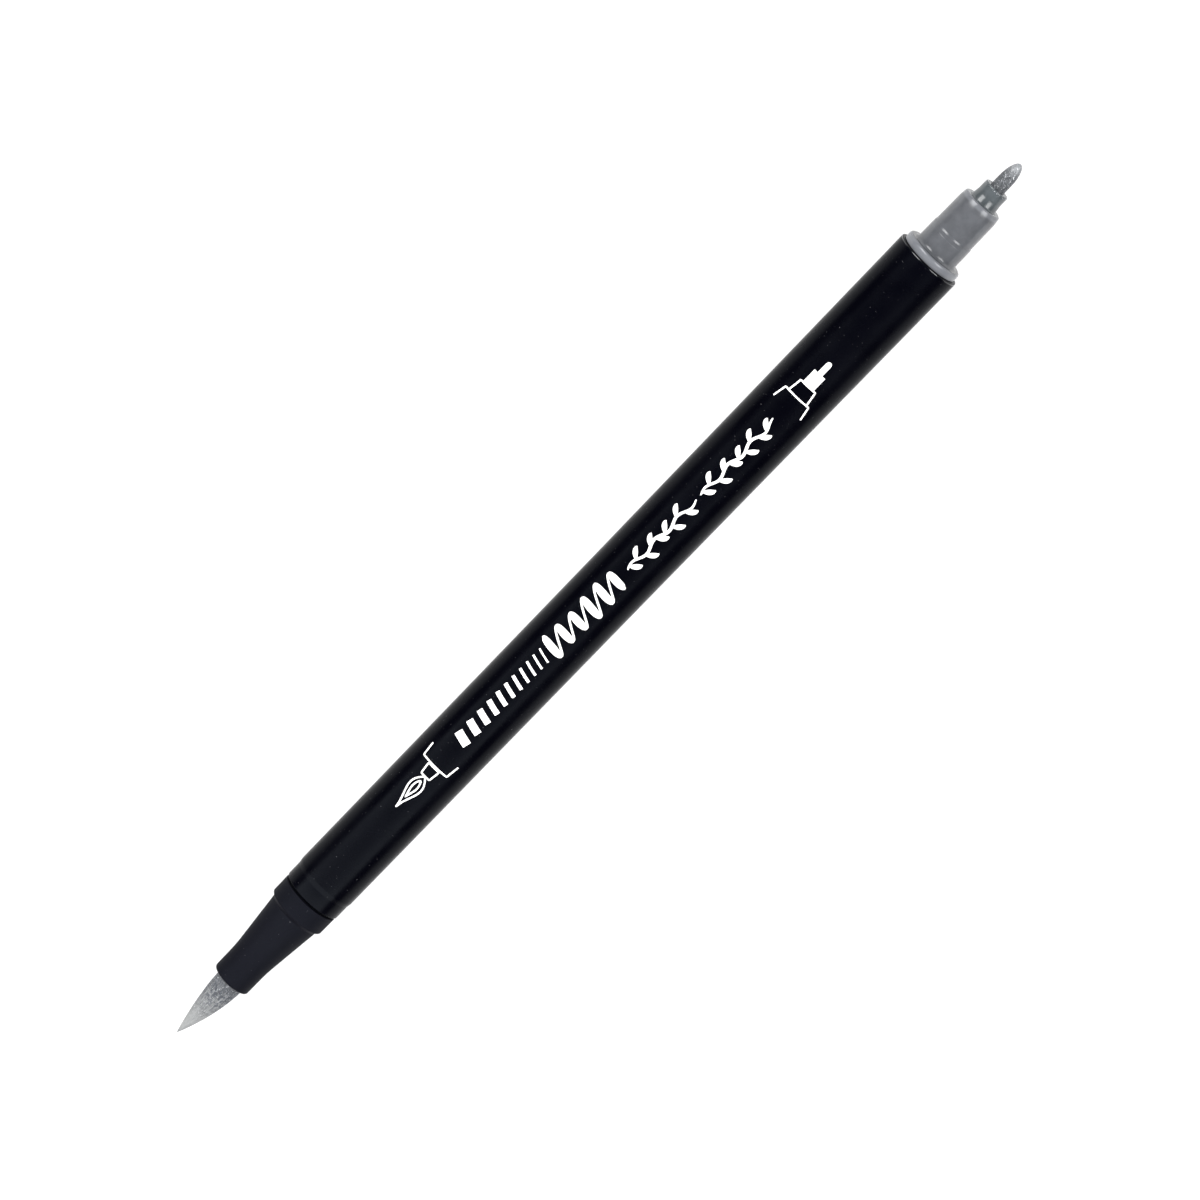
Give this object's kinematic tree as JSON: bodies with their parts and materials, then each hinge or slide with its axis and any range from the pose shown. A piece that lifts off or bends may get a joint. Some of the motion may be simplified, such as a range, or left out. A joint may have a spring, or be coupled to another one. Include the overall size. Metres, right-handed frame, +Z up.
{
  "type": "twin-tip calligraphy marker",
  "caption": "Uncapped twin-tip calligraphy marker: tapered black barrel, flexible hair brush on a black grip at one end, fine fibre bullet nib in a stepped grey holder at the other",
  "frame": {"origin": "under the middle of the marker's length, on the surface that it lies on", "axes": "+X along the barrel from the brush towards the fine nib, +Z up, away from the surface"},
  "size_m": [0.173, 0.01, 0.01],
  "materials": {
    "barrel_black": "soft satin black",
    "grip_black": "satin black moulding",
    "brush_hair": "fine synthetic hair wet with silver ink",
    "ring_brass": "plain turned ring",
    "inner_plastic": "natural moulding",
    "ink_fibre": "fibre bundle soaked with silver ink",
    "sleeve_film": "thin film",
    "holder_grey": "satin mid grey moulding",
    "spigot_grey": "satin cool grey moulding",
    "nib_fibre": "bonded fibre charged with metallic ink"
  },
  "bodies": {
    "marker": {"barrel": "barrel_black", "brush_grip": "grip_black", "brush_root": "brush_hair", "brush_ring": "ring_brass", "brush_retainer": "inner_plastic", "ink_feed": "ink_fibre", "ink_reservoir": "ink_fibre", "reservoir_sleeve": "sleeve_film", "nib_holder": "holder_grey", "nib_sleeve": "spigot_grey", "fine_nib": "nib_fibre"},
    "belly": {"brush_belly": "brush_hair"},
    "point": {"brush_point": "brush_hair"}
  },
  "joints": [
    {"name": "belly_bend", "type": "hinge", "parent": "marker", "child": "belly", "pos_m": [-0.07545, 0, 0.005], "axis": [0, 1, 0], "range_deg": [-20, 20], "stiffness_Nm_per_rad": 0.006},
    {"name": "point_curl", "type": "hinge", "parent": "belly", "child": "point", "pos_m": [-0.081, 0, 0.005], "axis": [0, 1, 0], "range_deg": [-25, 25], "stiffness_Nm_per_rad": 0.0006}
  ]
}
